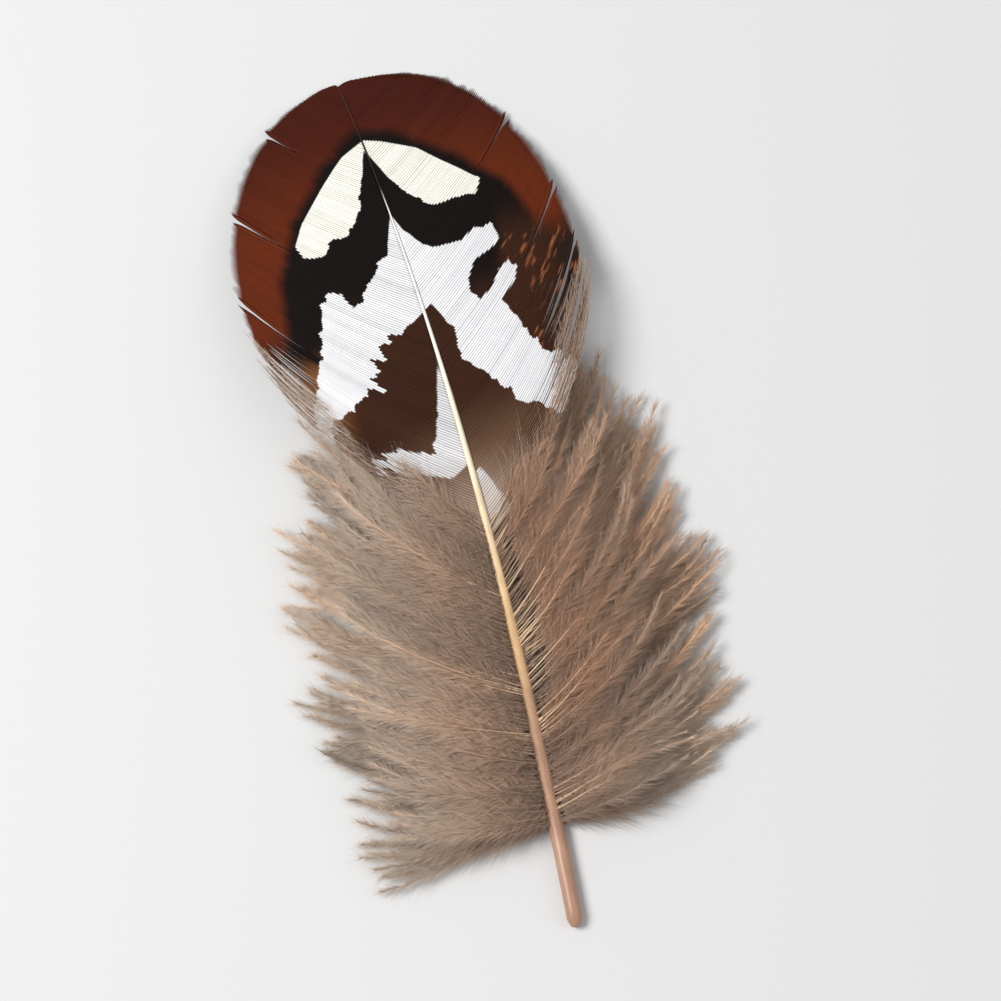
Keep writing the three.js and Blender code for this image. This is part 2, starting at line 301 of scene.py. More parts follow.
# The two vanes
# Each is a web of some 170 flat barbs that grow from the side of the shaft, run out to the edge and
# hook into their neighbours by fine barbules. Towards the down the hooks give out and they lie loose.
VANE_WIDEST = {-1: 15.2, 1: 15.4}  # half the vane's width, left and right of the shaft
VANE_WIDEST_DEPTH = 19.0  # from the tip down to the widest place
VANE_ROUNDNESS = {-1: 2.0, 1: 2.2}
VANE_FULLNESS = {-1: 0.55, 1: 0.33}  # the right half is the squarer one at the tip
VANE_ROOT_DEPTH = 46.0  # from the tip down to the lowest barb of the vane
VANE_NARROWING = 3.7  # how much each half narrows over the next stretch down
VANE_NARROWING_LENGTH = 25.0
VANE_NARROWING_CURVE = 1.5
VANE_CAMBER = 0.0142  # drop of the vane per square millimetre away from the shaft
VANE_LOWEST = 0.12
VANE_TIP_ROOT = 0.5
VANE_LEAST_ROOT = 0.3
VANE_ON_SHAFT = 0.35  # share of the shaft's radius above its middle at which the barbs leave it
VANE_SINK = 0.1
BARB_SWEEP = 34.0
BARB_ROOT_ANGLE = math.radians(54)
BARBS_A_SIDE = 170
BARB_STEPS = 40
ROOT_JITTER = 0.008
LENGTH_DRIFT = 0.007  # neighbours' lengths drift by this share
LENGTH_JITTER = 0.004
LOOSE_LENGTH_JITTER = 0.07
BARB_SPACING = (0.1, 0.4)
BARB_HALF_WIDTH = 0.62  # of the spacing, so that each barb laps over the next
LOOSE_NARROWING = 0.33
BARB_FLATNESS = 0.06  # a hooked barb's thickness as a share of its width
LOOSE_THICKENING = 0.48
BARB_POINT = (0.93, 1.02)  # shares of its length between which a barb thins
BARB_POINT_THINNING = 0.85
VANE_WAVES = [(0.07, 1.1, 1), (0.01, 3.7, 2)]  # height, radians a millimetre of shaft, and shift
WANDER = 0.45  # how far the loose barbs stray
WANDER_LIFT = 0.4
HOOKED_DEPTH = 40.0  # barbs that leave the shaft above this are hooked together all along
LOOSE_DEPTH = 47.0
LOOSE_FROM = 0.4  # share of its length from which an unhooked barb is wholly loose
EDGE_LOOSE = {-1: (10.0, 13.0), 1: (8.5, 13.0)}  # where they come loose towards the edge
EDGE_LOOSE_DEPTHS = (22.0, 30.0)
# Where the vane is split: depth at the shaft, and share of the barbs' length that stays whole
VANE_SPLITS = {-1: [(43, 0.72), (36, 0.86), (24.5, 0.9), (12, 0.93)],
               1: [(43.5, 0.7), (39, 0.78), (31.5, 0.84), (20, 0.92)]}
SPLIT_GAP = 0.45
SPLIT_REACH = 1.5
SPLIT_START = 0.6  # a split opens from this share of the length that stays whole
SPLIT_END = 1.05

# Outlines of the markings: millimetres down from the tip, and right of the shaft. They are as they
# look from above, where the arch makes the vane's end look shorter than it is.
ARCH_SHORTENING = 0.44  # how much nearer to the tip a place looks for each millimetre it is higher
HEART_TOP = [(14.4, -8.4), (13.0, -8.9), (11.2, -7.6), (8.8, -5.0), (6.6, -2.3), (5.6, 0.1),
             (6.1, 1.6), (7.4, 4.4), (9.0, 6.1), (11.3, 8.8)]
HEART_FOOT = [(11.3, 8.8), (12.7, 7.9), (12.5, 5.9), (13.0, 3.7), (11.4, 2.3), (9.5, 1.1),
              (7.8, 0.4), (6.4, -0.1), (7.4, -0.6), (9.5, -1.4), (12.4, -3.1), (13.3, -4.2),
              (13.6, -5.4), (14.6, -6.8), (14.4, -8.4)]
BAND = [(12.7, 0.0), (16.2, -1.5), (17.7, -3.3), (20.1, -5.7), (18.1, -6.6), (17.9, -7.8),
        (21.2, -9.1), (24.0, -10.1), (27.3, -11.6), (30.5, -12.6), (34.0, -12.9), (33.0, -11.2),
        (29.6, -10.8), (28.6, -8.6), (28.2, -6.6), (25.1, -5.0), (23.4, -2.9), (22.4, -0.7),
        (21.5, 0.8), (23.9, 2.1), (27.0, 1.9), (29.5, 4.2), (31.8, 5.8), (34.0, 9.1),
        (36.1, 11.0), (36.5, 15.0), (31.0, 13.0), (29.3, 11.2), (27.3, 8.9), (24.2, 7.6),
        (22.6, 6.9), (21.0, 8.7), (19.8, 9.2), (19.2, 8.6), (19.9, 7.5), (21.4, 6.4),
        (22.3, 4.9), (20.0, 4.8),
        (18.5, 5.8), (17.7, 7.6), (16.9, 8.8), (15.6, 8.3), (15.8, 6.6), (16.8, 5.0),
        (16.6, 2.3), (14.4, 0.6)]
RIM_INNER = [(60.0, -11.0), (30.0, -13.0), (22.0, -12.2), (15.4, -10.9), (10.8, -8.1), (7.7, -4.8),
             (6.0, -2.5), (4.7, -0.4), (5.3, 1.8), (6.2, 3.9), (8.8, 7.4), (10.6, 9.2),
             (12.2, 10.8), (14.0, 11.7), (18.0, 12.3), (26.0, 13.5), (60.0, 13.5)]
LOW_BAND = [(33.2, -7.4), (33.6, -5.4), (34.9, -3.2), (33.6, -2.2), (31.4, -1.6), (27.0, -0.35),
            (22.9, -0.2), (30.0, 0.25), (36.5, -0.2), (37.4, -1.8), (36.4, -4.0), (35.0, -6.9),
            (34.4, -8.6)]
SIDE_PATCH = [(37.2, 0.3), (37.0, 0.9), (39.2, 1.6), (41.8, 3.1), (42.5, 2.8), (42.6, 0.4)]

# Where the markings' edges waver from barb to barb, in millimetres along the barb
FINE_TEETH = 0.09
SLOW_WAVES = 0.13
TEETH_JITTER = 0.03
LONG_TEETH = 4.0  # the brown patch's left edge has teeth this many times as long
LONG_TEETH_JITTER = 0.12
LONG_TEETH_DEPTHS = (21.5, 24.5)
LONG_TEETH_OUTER = (-9.0, -7.0)  # across, they start and end between these
LONG_TEETH_INNER = (-4.0, -2.0)
RIM_WAVER = 0.5  # the rim's edge wavers by this share of the others
EVEN_AT_SHAFT = (0.4, 3.0)  # the edges meet at the shaft, and waver fully this far out

# The soft changes of colour go from none to full between these depths; the specks end again between
# the last depths, and the two edges are distances from the shaft
RUFOUS_AND_LIGHT_DEPTHS = (2.0, 13.0)
# Below the tip the chestnut turns brighter and more rufous. That is partly the feather's own colour and
# partly painted light: the lit right half takes it in full, and the left only in part
RUFOUS_AND_LIGHT_SHARE = {-1: 0.8, 1: 1.0}
RIM_END_DEPTHS = {-1: (19.0, 23.5), 1: (14.5, 18.5)}
BROWN_DEPTH = 21.0
BROWN_LOWER_LEFT = 4.5
BROWN_HIGHER_RIGHT = 5.5
BROWN_HALF_SPAN = 2.5
PALE_DEPTHS = (30.0, 40.0)
PALE_SLANT = 0.25
SPECK_DEPTHS = (15.5, 18.0)
SPECK_LAST_DEPTHS = (26.0, 30.0)
SPECK_SPREAD = (0.6, 0.8)  # a speck runs on from one step of its barb to the next
GOLD_DEPTHS = (22.0, 26.0)
FADED_DEPTHS = (34.5, 43.0)
RIGHT_EDGE = (7.0, 9.5)
LEFT_EDGE = (8.0, 10.5)
TONE_DRIFT = 0.25
TONE_JITTER = 0.2
rng = np.random.default_rng(1758)


def smooth(value, low, high):
    """0 below low, 1 above high and an even curve between."""
    share = np.clip((value - low) / (high - low), 0, 1)
    return share * share * (3 - 2 * share)


def half_width(depth, side):
    """Half the vane's width at a distance from the tip."""
    to_widest = np.clip(depth / VANE_WIDEST_DEPTH, 0, 1)
    rounded = (1 - (1 - to_widest) ** VANE_ROUNDNESS[side]) ** VANE_FULLNESS[side]
    past = np.clip((depth - VANE_WIDEST_DEPTH) / VANE_NARROWING_LENGTH, 0, None)
    return VANE_WIDEST[side] * rounded - VANE_NARROWING * past**VANE_NARROWING_CURVE


def seen_depth(depth):
    """The distance from the tip as it looks from above."""
    height = shaft_line(TIP_Y - depth)[..., 2] - TIP_HEIGHT
    return depth - ARCH_SHORTENING * height


def unit(vectors):
    return vectors / np.linalg.norm(vectors, axis=-1, keepdims=True)


NO_DISTANCE = 1e-6  # small numbers that keep a division from failing
NO_RUN = 1e-9


def edge_distance(points, line):
    """Each point's distance to a line of straight stretches."""
    line = np.array(line, float)
    a, b = line[:-1], line[1:]
    run = b - a
    from_a = points[..., None, :] - a
    share = np.clip((from_a * run).sum(-1) / (run * run).sum(-1), 0, 1)
    return np.linalg.norm(from_a - share[..., None] * run, axis=-1).min(-1)


def inside(points, outline):
    """How far inside a closed outline each point lies, and below zero outside it."""
    a = np.array(outline, float)
    b = np.roll(a, -1, axis=0)
    y = points[..., 1, None]
    spans = (a[:, 1] > y) != (b[:, 1] > y)
    slope = (b[:, 0] - a[:, 0]) / np.where(b[:, 1] == a[:, 1], NO_RUN, b[:, 1] - a[:, 1])
    crossed = spans & (points[..., 0, None] < a[:, 0] + (y - a[:, 1]) * slope)
    sign = np.where(crossed.sum(-1) % 2 == 1, 1.0, -1.0)
    return sign * edge_distance(points, list(outline) + [outline[0]])


def drifting(count, reach):
    """Random values that change slowly along a row: reach is how many neighbours move together."""
    kernel = np.hanning(reach + 2)[1:-1]
    kernel /= np.sqrt((kernel * kernel).sum())
    return np.convolve(rng.normal(0, 1, count), kernel, mode="same")


MAP_REACH = 1.35  # the farthest way out that a strand's map has room for
UP = (0.0, 0.0, 1.0)
TIP_EDGE = 0.5  # a strand's end is neither its edge nor its middle


def strand_object(name, lines, half_widths, half_heights, section, values, rows=None, face=UP):
    """Joined closed strands: lines is strand by step by xyz in mm, each ends in a point, and section
    lists the places round it as (across, up, edge). face is the way that the section's top looks, and
    values are numbers by strand and step. On the UV map each row is a strip, with the way out along
    it, and strands alike in colour share a row."""
    strands, steps, _ = lines.shape
    section = np.array(section, float)
    sides = len(section)
    ahead = unit(np.gradient(lines, axis=1))
    across = unit(np.cross(ahead, face))
    upward = np.cross(across, ahead)
    wide = (half_widths[..., None] * section[:, 0])[:, :-1, :, None]
    high = (half_heights[..., None] * section[:, 1])[:, :-1, :, None]
    body = lines[:, :-1, None, :] + across[:, :-1, None, :] * wide + upward[:, :-1, None, :] * high
    count = strands * (steps - 1) * sides
    points = np.concatenate([body.reshape(-1, 3), lines[:, -1]]) * MM
    corner = np.arange(count).reshape(strands, steps - 1, sides)
    beside = np.roll(corner, -1, axis=2)
    quads = np.stack([corner[:, :-1], beside[:, :-1], beside[:, 1:], corner[:, 1:]], -1)
    tips = np.broadcast_to((count + np.arange(strands))[:, None], (strands, sides))
    points_to_tip = np.stack([corner[:, -1], beside[:, -1], tips], -1)
    caps = corner[:, 0, ::-1]
    loops = np.concatenate([quads.ravel(), points_to_tip.ravel(), caps.ravel()])
    sizes = np.concatenate([
        np.full(quads.size // 4, 4), np.full(points_to_tip.size // 3, 3), np.full(strands, sides)
    ])
    mesh = bpy.data.meshes.new(name)
    mesh.vertices.add(len(points))
    mesh.vertices.foreach_set("co", points.astype(np.float32).ravel())
    mesh.loops.add(len(loops))
    mesh.loops.foreach_set("vertex_index", loops.astype(np.int32))
    mesh.polygons.add(len(sizes))
    mesh.polygons.foreach_set("loop_start", (np.cumsum(sizes) - sizes).astype(np.int32))
    mesh.update(calc_edges=True)
    rows = np.arange(strands) if rows is None else rows
    strip = 1 / (rows.max() + 1)
    near = (rows[:, None] + np.arange(sides) / sides) * strip
    far = near + strip / sides
    way_out = np.broadcast_to(values["out"], (strands, steps)) / MAP_REACH
    inner, outer = way_out[:, :-2, None], way_out[:, 1:-1, None]
    last, end = way_out[:, -2, None], way_out[:, -1, None]
    places = []
    for u_corners, v_corners in (
        ((inner, inner, outer, outer), (near[:, None], far[:, None], far[:, None], near[:, None])),
        ((last, last, end), (near, far, (near + far) / 2)),
        ((way_out[:, 0, None],), (near[:, ::-1],)),
    ):
        parts = [np.stack(np.broadcast_arrays(u, v), -1) for u, v in zip(u_corners, v_corners)]
        places.append(np.stack(parts, -2).reshape(-1, 2))
    strips = mesh.uv_layers.new(name="OFBake")
    strips.data.foreach_set("uv", np.concatenate(places).astype(np.float32).ravel())
    edge = np.broadcast_to(section[:, 2], (strands, steps - 1, sides)).ravel()
    layers = {"edge": np.concatenate([edge, np.full(strands, TIP_EDGE)])}
    for layer, numbers in values.items():
        numbers = np.broadcast_to(numbers, (strands, steps))
        ring_numbers = np.repeat(numbers[:, :-1].ravel(), sides)
        layers[layer] = np.concatenate([ring_numbers, numbers[:, -1]])
    for layer, numbers in layers.items():
        held = mesh.attributes.new(layer, "FLOAT", "POINT")
        held.data.foreach_set("value", numbers.astype(np.float32))
    made = bpy.data.objects.new(name, mesh)
    bpy.context.scene.collection.objects.link(made)
    return made


def barb_lines(roots, side, reach):
    """Lines of vane barbs from the shaft outwards, by barb and step. reach is each barb's length share."""
    u = np.linspace(0, 1, BARB_STEPS) * reach[:, None]
    root_y = TIP_Y - roots
    start = shaft_line(root_y)
    end_depth = roots * roots / (roots + BARB_SWEEP)
    end = shaft_line(TIP_Y - end_depth)
    end[:, 0] += side * half_width(end_depth, side)
    span = 0.5 * np.linalg.norm(end - start, axis=1)
    handle = start.copy()
    handle[:, 0] += side * span * math.sin(BARB_ROOT_ANGLE)
    handle[:, 1] += span * math.cos(BARB_ROOT_ANGLE)
    a, b, c = (point[:, None, :2] for point in (start, handle, end))
    u3 = u[..., None]
    flat = (1 - u3) ** 2 * a + 2 * u3 * (1 - u3) * b + u3**2 * c
    for split, whole in VANE_SPLITS[side]:
        past = smooth(u, SPLIT_START * whole, SPLIT_END)
        apart = np.sign(split - roots) * np.exp(-np.abs(split - roots) / SPLIT_REACH)
        flat[..., 1] += SPLIT_GAP * apart[:, None] * past
    middle = shaft_line(np.minimum(flat[..., 1], TIP_Y))
    lift = VANE_ON_SHAFT * shaft_radius(flat[..., 1]) - VANE_SINK
    cross = flat[..., 0] - middle[..., 0]
    z = middle[..., 2] + lift - VANE_CAMBER * cross**2
    lines = np.concatenate([flat, z[..., None]], -1)
    depth = TIP_Y - flat[..., 1]
    return lines, u, np.stack([depth, cross], -1)


SHINGLE = [(-1, 0.6, 1), (0, 0.12, 0), (1, -0.6, 1), (0, -0.75, 0.4)]  # each laps over the next
FRINGE_FROM_DEPTH = 41.0  # barbs below this bear short down towards their ends
vanes = []
fringed = {}
for side, name in ((-1, "vane_left"), (1, "vane_right")):
    roots = np.linspace(VANE_ROOT_DEPTH, VANE_TIP_ROOT, BARBS_A_SIDE)
    roots += rng.normal(0, ROOT_JITTER, BARBS_A_SIDE)
    roots = np.maximum(roots, VANE_LEAST_ROOT)
    unhooked = smooth(roots, HOOKED_DEPTH, LOOSE_DEPTH)
    reach = 1 + LENGTH_DRIFT * drifting(BARBS_A_SIDE, 5) + rng.normal(0, LENGTH_JITTER, BARBS_A_SIDE)
    reach += unhooked * rng.normal(0, LOOSE_LENGTH_JITTER, BARBS_A_SIDE)
    lines, u, place = barb_lines(roots, side, reach)
    depth, cross = place[..., 0], place[..., 1]
    edge_loose = smooth(depth, *EDGE_LOOSE_DEPTHS) * smooth(np.abs(cross), *EDGE_LOOSE[side])
    loose = np.clip(unhooked[:, None] * smooth(u, 0.0, LOOSE_FROM) + edge_loose, 0, 1)
    depth = seen_depth(depth)
    place = np.stack([depth, cross], -1)
    wave = sum(height * np.sin(roots * often + shift * side) for height, often, shift in VANE_WAVES)
    lines[..., 2] += wave[:, None] * u**2
    next_to = np.gradient(lines, axis=0)
    ahead = unit(np.gradient(lines, axis=1))
    next_to -= (next_to * ahead).sum(-1, keepdims=True) * ahead
    spacing = np.clip(np.linalg.norm(next_to, axis=-1), *BARB_SPACING)
    sheet_up = side * unit(np.cross(ahead, next_to))
    taper = 1 - BARB_POINT_THINNING * smooth(u, *BARB_POINT)
    half_widths = spacing * (BARB_HALF_WIDTH - LOOSE_NARROWING * loose) * taper
    half_heights = half_widths * (BARB_FLATNESS + LOOSE_THICKENING * loose)
    wander = rng.normal(0, WANDER, BARBS_A_SIDE)[:, None] * loose
    lines[..., 1] += wander * u**2
    lines[..., 2] += WANDER_LIFT * np.abs(wander) * u**2
    lines[..., 2] = np.maximum(lines[..., 2], VANE_LOWEST)
    teeth = FINE_TEETH * drifting(BARBS_A_SIDE, 3)
    waves = SLOW_WAVES * drifting(BARBS_A_SIDE, 8)
    from_shaft = smooth(np.abs(cross), *EVEN_AT_SHAFT)[..., None]
    shift = (teeth + waves + rng.normal(0, TEETH_JITTER, BARBS_A_SIDE))[:, None, None] * from_shaft
    long_teeth = (LONG_TEETH * teeth + rng.normal(0, LONG_TEETH_JITTER, BARBS_A_SIDE))[:, None, None]
    barb_way = np.stack([-ahead[..., 1], ahead[..., 0]], -1)
    top_distance = edge_distance(place, HEART_TOP)
    foot_distance = edge_distance(place, HEART_FOOT)
    ragged = (top_distance / (top_distance + foot_distance + NO_DISTANCE))[..., None]
    heart = inside(place + barb_way * shift * ragged, HEART_TOP + HEART_FOOT[1:-1])
    toothed = smooth(depth, *LONG_TEETH_DEPTHS) * smooth(cross, *LONG_TEETH_OUTER)
    toothed *= 1 - smooth(cross, *LONG_TEETH_INNER)
    jagged = place + barb_way * (shift + long_teeth * toothed[..., None])
    right, left = smooth(cross, *RIGHT_EDGE), smooth(-cross, *LEFT_EDGE)
    brown_depth = BROWN_DEPTH + BROWN_LOWER_LEFT * left - BROWN_HIGHER_RIGHT * right
    speck_area = right * smooth(depth, *SPECK_DEPTHS) * (1 - smooth(depth, *SPECK_LAST_DEPTHS))
    speck = np.stack([drifting(BARBS_A_SIDE, 2) for _ in range(BARB_STEPS)], -1)
    speck = np.stack([np.convolve(row, SPECK_SPREAD, mode="same") for row in speck])
    tone = TONE_DRIFT * drifting(BARBS_A_SIDE, 4) + rng.normal(0, TONE_JITTER, BARBS_A_SIDE)
    values = {
        "heart": heart,
        "band": inside(jagged, BAND),
        "rim": inside(place + barb_way * shift * RIM_WAVER, RIM_INNER),
        "low_band": np.maximum(inside(jagged, LOW_BAND), inside(jagged, SIDE_PATCH)),
        "rufous_and_light": smooth(depth, *RUFOUS_AND_LIGHT_DEPTHS) * RUFOUS_AND_LIGHT_SHARE[side],
        "rim_end": smooth(depth, *RIM_END_DEPTHS[side]),
        "brown": smooth(depth, brown_depth - BROWN_HALF_SPAN, brown_depth + BROWN_HALF_SPAN),
        "pale": smooth(depth + PALE_SLANT * cross, *PALE_DEPTHS),
        "speck": speck * speck_area,
        "gold": left * smooth(depth, *GOLD_DEPTHS),
        "faded": smooth(depth, *FADED_DEPTHS),
        "loose": loose,
        "tone": tone[:, None],
        "out": u,
    }
    vanes.append(strand_object(
        name, lines, half_widths, half_heights, SHINGLE, values, face=sheet_up
    ))
    lowest = roots > FRINGE_FROM_DEPTH
    fringed[side] = lines[lowest], smooth(roots[lowest], FRINGE_FROM_DEPTH, LOOSE_DEPTH)

CHESTNUT_TIP = srgb(72, 26, 14)
CHESTNUT = srgb(106, 43, 17)
BLACK = srgb(20, 14, 12)
HEART_WHITE = srgb(250, 248, 236)
BAND_WHITE = srgb(238, 238, 240)
INNER_BROWN = srgb(61, 34, 21)
LOW_BROWN = srgb(124, 94, 72)
EDGE_BROWN = srgb(44, 29, 21)
RUFOUS = srgb(156, 92, 58)
GOLD_BROWN = srgb(150, 98, 58)
TAUPE = srgb(184, 162, 147)
# Painted shade: the dark that each barb's edges turn towards, standing in for the shade in the gaps
# between barbs
GAP_SHADE = srgb(40, 29, 22)
# How far inside an outline its colour starts and is full; a rim's edge is soft, the whites' are sharp
RIM_EDGE = (-0.9, 0.5)
BAND_EDGE = (-0.05, 0.06)
LOW_BAND_EDGE = (-0.08, 0.12)
HEART_EDGE = (-0.05, 0.05)
SPECK_VALUES = (0.4, 1.9)
GOLD_BY_TONE = (1.2, 0.6)  # gain and middle
LOW_BAND_SHARE = 0.85
FADED_SHARE = 0.85
# How much painted gap shade the barbs' edges take, where they lie loose and where they are hooked
GAP_ON_LOOSE = 0.45
GAP_ON_HOOKED = 0.02
VANE_UNEVENNESS = 0.14
VANE_GRAIN = 900.0
web, tree, shader = new_material("vane_web")
ground = mix(tree, attribute(tree, "brown"), BLACK, INNER_BROWN)
ground = mix(tree, attribute(tree, "pale"), ground, LOW_BROWN)
# Partly painted light: the chestnut brightens from CHESTNUT_TIP to CHESTNUT further down, most on the lit
# right half
chestnut = mix(tree, attribute(tree, "rufous_and_light"), CHESTNUT_TIP, CHESTNUT)
rim_colour = mix(tree, attribute(tree, "rim_end"), chestnut, EDGE_BROWN)
colour = mix(tree, ramp_over(tree, attribute(tree, "rim"), *RIM_EDGE), rim_colour, ground)
colour = mix(tree, ramp_over(tree, attribute(tree, "speck"), *SPECK_VALUES), colour, RUFOUS)
gold_tone = math_node(tree, "MULTIPLY_ADD", attribute(tree, "tone"), *GOLD_BY_TONE, clamp=True)
gold_share = math_node(tree, "MULTIPLY", attribute(tree, "gold"), gold_tone)
colour = mix(tree, gold_share, colour, GOLD_BROWN)
colour = mix(tree, ramp_over(tree, attribute(tree, "band"), *BAND_EDGE), colour, BAND_WHITE)
low_share = ramp_over(tree, attribute(tree, "low_band"), *LOW_BAND_EDGE)
colour = mix(tree, math_node(tree, "MULTIPLY", low_share, LOW_BAND_SHARE), colour, BAND_WHITE)
colour = mix(tree, ramp_over(tree, attribute(tree, "heart"), *HEART_EDGE), colour, HEART_WHITE)
faded_share = math_node(tree, "MULTIPLY", attribute(tree, "faded"), FADED_SHARE)
colour = mix(tree, faded_share, colour, TAUPE)
# Painted shade: each barb darkens towards its edges, as shade in the gaps between barbs, much more where
# they lie loose
gap_shade_share = math_node(tree, "MULTIPLY_ADD", attribute(tree, "loose"), GAP_ON_LOOSE, GAP_ON_HOOKED)
painted_gap_shade = math_node(tree, "MULTIPLY", attribute(tree, "edge"), gap_shade_share)
colour = mix(tree, painted_gap_shade, colour, GAP_SHADE)
colour = varied(tree, colour, attribute(tree, "tone"), VANE_UNEVENNESS, VANE_GRAIN)
set_inputs(tree, shader, {
    "Base Color": colour, "Roughness": 0.75, "IOR": 1.5, "Specular IOR Level": 0.1,
})
for vane in vanes:
    vane.data.materials.append(web)
    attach(vane, "root")
    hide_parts("feather")

# The down
# Some 400 soft barbs from the shaft's lower half, with no hooks, so that their long hair-fine
# barbules stand out freely all along them. They gather in locks, in two layers on each side.
DOWN_FIRST_Y = 5.0
DOWN_LAST_Y = 31.0
DOWN_LOCKS = 26
BARBS_A_LOCK = 4
DOWN_STEPS = 16
DOWN_LENGTH = 15.5  # of a barb at the quill
DOWN_GROWTH = 3.0  # how much longer it is at the vane
DOWN_MIDDLE_GROWTH = 3.5  # and how much longer still in between
DOWN_START_ANGLES = (100, 52)  # from the shaft, at the quill and at the vane
DOWN_END_ANGLES = (74, 24)
DOWN_CLOSING = 0.6  # below 1 the angles close up soon above the quill
DOWN_FALL = 1.2  # above 1 a barb keeps its height longer
DOWN_LOWEST = (0.15, 0.65)  # the least height of a barb's two ends
# The under and the upper layer. rise: height of the roots over the shaft's middle; length: share of
# the full length; tip: share of its root's height that a tip has; loft: rise in between; sag: least
# and most that the tips sink to the surface; turn: degrees further from the shaft
DOWN_LAYERS = [dict(rise=-0.15, length=1.0, tip=0.4, loft=0.4, sag=(0.35, 1.0), turn=6),
               dict(rise=0.2, length=0.88, tip=0.6, loft=2.5, sag=(0.0, 0.95), turn=-5)]
LOFT_LOSS = 0.45  # the upper layer stands up less towards the vane, by this share
LEAST_CLUMPING = 0.1  # how far a lock's barbs are drawn together at their ends
MOST_CLUMPING = 0.55
CLUMPING_ONSET = 1.3
ROOT_SCATTER = 0.6
LOCK_UNEVENNESS = 1.3
LOCK_TURN = 1.5
BARB_UNEVENNESS = 1.5
BARB_SHORTER = 0.4
BARB_TURN = 2.5
# Bends that a whole stretch of barbs shares: size, radians a millimetre of shaft, radians along the
# barb, and shifts from side to side and from layer to layer
FLOWS = [(0.8, 0.7, 3.0, 2, 1), (0.5, 1.9, -4.0, 1, 2)]
FLOW_ONSET = 1.6
FLOW_ACROSS = 0.3
CURL = 0.3  # each barb's own bend
CURL_WAVES = 6.0  # radians from root to tip
CURL_ACROSS = 0.6
CURL_UP = 0.35
CURL_UP_WAVES = 4.0
LOCK_TONES = 0.8
BARB_TONES = 0.5
RAMUS_RADIUS = 0.045
RAMUS_TAPER = 0.85
BOLD_TONES = (0.6, 1.3)  # the palest barbs are bolder too, and show as long straight hairs
BOLD_THICKER = 0.8
BOLD_LIFT = 0.3
BARBULES_A_MM = 24.0  # on both sides of a barb together
BARBULE_RADIUS = 0.021
BARBULE_LENGTH = 2.6
BARBULE_ANGLE = 31.0  # from the barb at its root, in degrees
BARBULE_CLOSING = 15.0  # how much less it is at the barb's end
BARBULE_ANGLE_SPREAD = 13.0
BARBULE_ANGLE_LIMITS = (-10, 70)
BARBULE_TILT_SPREAD = 28.0  # out of the barb's own plane
BARBULE_TILT_LIMITS = (-50, 50)
BARBULE_CROWDING = 0.75  # below 1 they stand closer towards the barb's end
BARBULE_AT_ENDS = 0.6  # share of the full length at the barb's two ends
BARBULE_BETWEEN = 0.55  # and how much more it is in between
BARBULE_BULGE = 0.8  # below 1 the longest ones grow nearer to the shaft
BARBULE_SHORTENING = 0.3
BARBULE_LENGTH_SPREAD = 0.35
BARBULE_LENGTH_LIMITS = (-0.7, 0.6)
BARBULE_LOWEST = 0.03
BARBULE_LIT_END = 0.3  # how much further out a barbule's end counts for its colour, so that its end takes more of the painted light at the tips
BARE_BASE = {-1: 0.3, 1: 3.2}  # near the vane the right barbs are bare this far out from the shaft
BARE_SPREAD = (0.6, 1.1)
BARE_FROM_Y = 17.0
BARE_ONSET = 4.0
DOWN_WARM = {-1: 0.0, 1: 1.0}  # the right side's down is a warmer brown, but not at the quill
DOWN_WARM_FROM = 0.4  # share of the way from the quill to the vane


def down_lines(root, t, side, layer, uneven, turn, sag):
    """Lines of down barbs by barb and step, from where they leave the shaft. sag is how far, from 0
    to 1, each one's end has sunk to the surface."""
    length = DOWN_LENGTH + DOWN_GROWTH * t + DOWN_MIDDLE_GROWTH * np.sin(np.pi * t)
    length = layer["length"] * length + uneven
    start_angle = np.interp(t**DOWN_CLOSING, (0, 1), DOWN_START_ANGLES) + layer["turn"] + turn
    end_angle = np.interp(t**DOWN_CLOSING, (0, 1), DOWN_END_ANGLES) + layer["turn"] + 2 * turn
    start_angle, end_angle = np.radians(start_angle), np.radians(end_angle)
    s = np.linspace(0, 1, DOWN_STEPS)[None, :]
    bend = 2 * s * (1 - s)
    half = 0.5 * length
    first_x, first_y = side * np.sin(start_angle) * half, np.cos(start_angle) * half
    second_x, second_y = side * np.sin(end_angle) * half, np.cos(end_angle) * half
    x = root[:, 0, None] + bend * first_x[:, None] + s**2 * (first_x + second_x)[:, None]
    y = root[:, 1, None] + bend * first_y[:, None] + s**2 * (first_y + second_y)[:, None]
    tip_z = ((1 - sag) * (layer["tip"] * root[:, 2] + 0.5 * layer["loft"]))[:, None]
    loft = (layer["loft"] * (1 - LOFT_LOSS * t))[:, None]
    z = root[:, 2, None] + (tip_z - root[:, 2, None]) * s**DOWN_FALL + loft * np.sin(np.pi * s)
    return np.stack([x, y, np.maximum(z, np.interp(s, (0, 1), DOWN_LOWEST))], -1)


ALMOST_ALL = 0.9999  # keeps a place before the last step of its line


def along_lines(lines, which, share):
    """Points and directions on lines at a share of their steps."""
    steps = lines.shape[1]
    at = np.clip(share, 0, ALMOST_ALL) * (steps - 1)
    low = at.astype(int)
    part = (at - low)[:, None]
    run = lines[which, low + 1] - lines[which, low]
    return lines[which, low] + part * run, unit(run)


